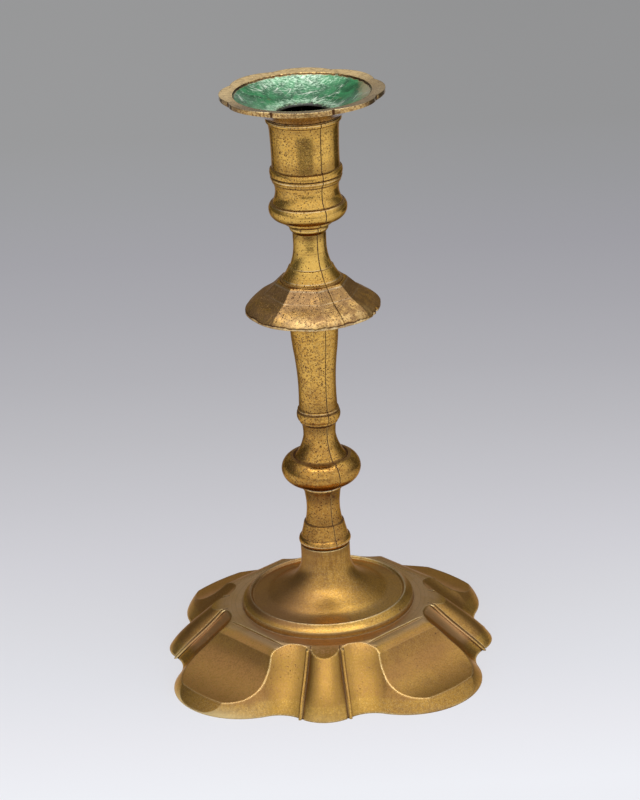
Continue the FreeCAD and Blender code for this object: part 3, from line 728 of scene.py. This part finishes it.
def dishCoat(brass, ragged):
    # the dish wears a glossy green coat inside its step, with pale streaks of wax and painted glare,
    # scratched and torn at the hole
    paint, look = brass.paint, brass.look
    x, y, radius = brass.x, brass.y, brass.radius
    edge = look["dishRadius"]
    inDish = paint.fades(radius + (ragged - 0.5) * 0.0012, edge - 0.0004, edge)
    inDish = inDish * paint.above(brass.tilt, 0.08) * paint.above(brass.z, look["dishLow"])
    atHole = paint.fades(radius + (ragged - 0.5) * 0.0040, *look["holeEdge"])
    flat = paint.join(x, y, 0.0)
    swirl = paint.noise(flat, 170.0, 6.0, 0.7, 0.8)
    coat = paint.blend(paint.between(swirl, 0.42, 0.62), look["coatDark"], look["coatGreen"])
    streak = paint.noise(paint.stretched(flat, (0.6, 1.2, 1.0)), 1250.0, 7.0, 0.78, 0.35)
    # wax and painted glare: the pale streaks gather round the hole, at the back and on the left
    atMiddle = paint.between(radius, *look["waxGlareMiddle"], 0.16, 0.0)
    waxAndGlare = paint.most(atMiddle, paint.between(y, *look["waxGlareBack"], 0.0, 0.13))
    waxAndGlare = waxAndGlare + paint.between(x, *look["waxGlareLeft"], 0.05, 0.0)
    waxAndGlare = waxAndGlare - paint.between(x, *look["waxGlareRight"], 0.0, 0.04)
    coat = paint.blend(paint.between(streak + waxAndGlare, 0.555, 0.76) * 0.85, coat, look["coatPale"])
    stained = paint.between(paint.noise(flat, 95.0, 4.0, 0.7), 0.60, 0.70) * 0.5
    coat = paint.blend(stained, coat, look["coatBrown"])
    faded = paint.between(x + (ragged - 0.5) * 0.004, *look["fadedRight"])
    faded = faded * paint.between(streak, 0.35, 0.55, 0.6, 1.0)
    coat = paint.blend(faded, coat, look["coatFaded"])
    scratch = 0.0
    for turn, shift in look["scratches"]:
        scratch = paint.most(scratches(paint, brass.place, turn, shift), scratch)
    coat = paint.blend(scratch * 0.85, coat, look["scratched"])
    flakes = paint.between(paint.noise(brass.place, 1500.0, 2.0), 0.50, 0.58)
    torn = paint.blend(flakes, look["tornDark"], look["tornPale"])
    return inDish, atHole, swirl, paint.blend(atHole, coat, torn)


def scratches(paint, place, turn, shift):
    # a few straight hairlines, thin across and long along one direction
    inputs = {"Vector": place, "Location": (shift, shift, 0), "Rotation": (0, 0, math.radians(turn))}
    long = paint.stretched(paint.node("ShaderNodeMapping", {}, inputs), (420.0, 30.0, 1.0))
    hairline = paint.fades(abs(paint.noise(long, 1.0, 1.0, 0.4) - 0.5), 0.0, 0.011)
    return hairline * paint.between(paint.noise(place, 160.0, 1.0), 0.50, 0.58)


def seamMaterial(look):
    material, paint = newMaterial("brazeSeam")
    place = paint.objectPlace()
    z = paint.split(place)[2]
    grain = paint.noise(place, 520.0, 4.0, 0.65)
    tone = paint.blend(paint.between(grain, 0.46, 0.60), look["dark"], look["rust"])
    # filled and rubbed flush at the top of the socket, and in dots across the pan
    flush = paint.most(paint.window(z, *look["flushLow"]), paint.between(z, *look["flushHigh"])) * 0.8
    bare = flush * paint.between(grain, 0.42, 0.54)
    inputs = {
        "Base Color": paint.blend(bare, tone, look["brass"]),
        "Roughness": look["roughness"] + (grain - 0.5) * 0.3,
        "Metallic": 0.3 + bare * 0.7,
    }
    paint.finish(paint.node("ShaderNodeBsdfPrincipled", {}, inputs))
    return material


def dress(node, material):
    # give one piece of the frame its finish
    mesh = nodes[node].data
    mesh.materials.clear()
    mesh.materials.append(material)


stemBrass = brassMaterial("stemBrass", stemLook, panFinish)
seam = seamMaterial(seamLook)
dress("petal_base", brassMaterial("baseBrass", baseLook, ribFinish))
dress("stem_half_left", stemBrass)
dress("stem_half_right", stemBrass)
dress("braze_seam_front", seam)
dress("braze_seam_back", seam)
dress("socket_floor", brassMaterial("floorBrass", floorLook))
dress("nozzle", nozzleMaterial(nozzleLook))
print("finishes: brass, braze and green dish coat on")


# the room turns with the camera, a little off the ribs of the base
roomLook = {
    "turn": 3.07,
    "floorSize": 6.0,
    # the paper from front to back: (place in metres, colour)
    "tones": [
        (-0.60, (0.84, 0.84, 0.87)),
        (-0.38, (0.82, 0.82, 0.85)),
        (-0.20, (0.84, 0.84, 0.87)),
        (-0.099, (0.855, 0.865, 0.90)),
        (-0.062, (0.81, 0.81, 0.845)),
        (-0.020, (0.745, 0.75, 0.785)),
        (0.025, (0.69, 0.69, 0.72)),
        (0.074, (0.63, 0.625, 0.66)),
        (0.128, (0.56, 0.555, 0.585)),
        (0.188, (0.495, 0.49, 0.515)),
        (0.255, (0.435, 0.43, 0.455)),
        (0.330, (0.39, 0.385, 0.41)),
        (0.413, (0.355, 0.35, 0.375)),
        (0.509, (0.330, 0.330, 0.342)),
        (0.619, (0.313, 0.313, 0.315)),
        (0.893, (0.309, 0.309, 0.309)),
    ],
    "leftLight": 0.038,
    "glow": 0.6,
    "domeAim": (0.20, -0.70, 0.685),
    "domeLow": -0.1,
    "domeHigh": 0.75,
    "domeTop": 1.0,
    "domeSide": 0.13,
    "overhead": 0.28,
    "behind": 0.17,
    # dark areas round the table: (from, to) in degrees from the front, (from, to) in metres, depth
    "darkAreas": [
        (-152.0, -130.0, 0.36, 1.3, 0.85),
        (108.0, 152.0, 0.34, 1.3, 0.80),
        (-172.0, -118.0, 0.12, 0.42, 0.50),
        (115.0, 172.0, 0.12, 0.42, 0.50),
    ],
    # the strip of dark in front: half width, where it starts and ends, depth
    "darkStrip": (0.245, -0.365, -0.76, 0.68),
    "darkTone": (0.03, 0.028, 0.02, 1),
    "darkHalf": 1.4,
    "darkLevel": 0.002,
    "sky": (0.98, 0.99, 1.03, 1),
    "lampPlace": (0.0, -0.1, 1.1),
    "lampSize": (0.9, 0.7),
    "lampPower": 4.0,
}
room = Matrix.Rotation(math.radians(roomLook["turn"]), 4, "Z")


def sheetObject(name, half, level, material):
    corners = [(-half, -half, level), (half, -half, level), (half, half, level), (-half, half, level)]
    mesh = bpy.data.meshes.new(name)
    mesh.from_pydata(corners, [], [(0, 1, 2, 3)])
    mesh.materials.append(material)
    made = bpy.data.objects.new(name, mesh)
    made.matrix_world = room
    bpy.context.scene.collection.objects.link(made)
    return made


def makeFloor(look):
    material, paint = newMaterial("paperFloor")
    x, y = paint.split(paint.objectPlace())[:2]
    near, far = look["tones"][0][0], look["tones"][-1][0]
    stops = [((where - near) / (far - near), tone) for where, tone in look["tones"]]
    tone = paint.ramp((y - near) / (far - near), stops)
    tone = paint.blend(paint.between(x, -0.16, 0.16, look["leftLight"], 0.0), tone, (1.0, 1.0, 1.0))
    paper = paint.node("ShaderNodeBsdfDiffuse", {}, {"Color": tone})
    glow = paint.node("ShaderNodeEmission", {}, {"Color": tone, "Strength": 1.0})
    rays = paint.node("ShaderNodeLightPath").socket.node.outputs
    seen = paint.most(Wire(paint, rays["Is Camera Ray"]), Wire(paint, rays["Is Glossy Ray"]))
    seen = paint.most(seen, Wire(paint, rays["Is Transmission Ray"]))
    paint.finish(paint.node("ShaderNodeMixShader", {}, {0: seen * look["glow"], 1: paper, 2: glow}))
    sheetObject("paperFloor", look["floorSize"] / 2, 0.0, material)


def makeDarkSheet(look):
    # dark surroundings that only the metal sees, with soft borders, where the pale table ends
    material, paint = newMaterial("darkSurroundings")
    x, y = paint.split(paint.objectPlace())[:2]
    turn = paint.maths("ARCTAN2", x, y * -1.0) * math.degrees(1)
    away = paint.fromAxis(x, y)
    width, near, far, depth = look["darkStrip"]
    dark = paint.between(abs(x), width * 0.82, width * 1.12, depth, 0.0)
    dark = dark * paint.between(y, near, near - 0.03) * paint.between(y, far, far + 0.12)
    for low, high, inner, outer, depth in look["darkAreas"]:
        inside = paint.window(turn, low, low + 9.0, high - 9.0, high)
        inside = inside * paint.window(away, inner, inner + 0.05, outer - 0.2, outer)
        dark = paint.most(dark, inside * depth)
    inputs = {"Base Color": look["darkTone"], "Roughness": 1.0, "Specular IOR Level": 0.0, "Alpha": dark}
    paint.finish(paint.node("ShaderNodeBsdfPrincipled", {}, inputs))
    sheet = sheetObject("darkSurroundings", look["darkHalf"], look["darkLevel"], material)
    sheet.visible_camera = False
    sheet.visible_diffuse = False
    sheet.visible_shadow = False
    sheet.visible_transmission = False


def makeWorld(look):
    world = bpy.data.worlds.new("studio")
    world.use_nodes = True
    bpy.context.scene.world = world
    paint = Paint(world.node_tree)
    toward = paint.node("ShaderNodeTexCoord", {}, {}, "Generated")
    inputs = {0: toward, 1: look["domeAim"]}
    facing = paint.node("ShaderNodeVectorMath", {"operation": "DOT_PRODUCT"}, inputs, "Value")
    ahead, up = paint.split(toward)[1:]
    strength = paint.between(facing, look["domeLow"], look["domeHigh"], look["domeSide"], look["domeTop"])
    overhead = paint.between(up, 0.60, 0.85, 0.0, look["overhead"]) * paint.fades(facing, 0.3, 0.7)
    behind = paint.window(up, 0.05, 0.25, 0.42, 0.62) * paint.between(ahead, 0.72, 0.90)
    strength = strength + overhead + behind * look["behind"]
    sky = paint.node("ShaderNodeBackground", {}, {"Color": look["sky"], "Strength": strength})
    paint.node("ShaderNodeOutputWorld", {}, {"Surface": sky})


def makeTopLamp(look):
    # a soft lamp over the front of the table, turned to the middle of the foot
    lamp = bpy.data.lights.new("topLamp", "AREA")
    lamp.shape = "RECTANGLE"
    lamp.size, lamp.size_y = look["lampSize"]
    lamp.energy = look["lampPower"]
    made = bpy.data.objects.new("topLamp", lamp)
    bpy.context.scene.collection.objects.link(made)
    made.matrix_world = room @ Matrix.Translation(look["lampPlace"])
    downward = room.to_3x3() @ Vector(look["lampPlace"]) * -1.0
    made.rotation_euler = downward.to_track_quat("-Z", "Y").to_euler()


makeFloor(roomLook)
makeDarkSheet(roomLook)
makeWorld(roomLook)
makeTopLamp(roomLook)
print("studio: floor, dome and lamp set")

# lens and sensor in millimetres, the rest in metres and radians; roll is a small lean of the view
cameraLook = {
    "lens": 118.46,
    "sensor": 36.0,
    "nearest": 0.01,
    "away": 0.81702,
    "height": 0.4324,
    "side": 0.000717,
    "tilt": 0.39478565,
    "roll": -0.0513428,
}


def makeCamera(look):
    lens = bpy.data.cameras.new("camera")
    lens.lens = look["lens"]
    lens.sensor_width = look["sensor"]
    lens.clip_start = look["nearest"]
    made = bpy.data.objects.new("camera", lens)
    bpy.context.scene.collection.objects.link(made)
    ahead = Vector((0, math.cos(look["tilt"]), -math.sin(look["tilt"])))
    right = Vector((1, 0, 0))
    up = right.cross(ahead)
    rolledRight = right * math.cos(look["roll"]) + up * math.sin(look["roll"])
    rolledUp = up * math.cos(look["roll"]) - right * math.sin(look["roll"])
    turned = Matrix((rolledRight, rolledUp, -ahead)).transposed().to_4x4()
    turned.translation = (look["side"], -look["away"], look["height"])
    made.matrix_world = room @ turned
    bpy.context.scene.camera = made


makeCamera(cameraLook)
bpy.context.scene.view_settings.view_transform = "Standard"
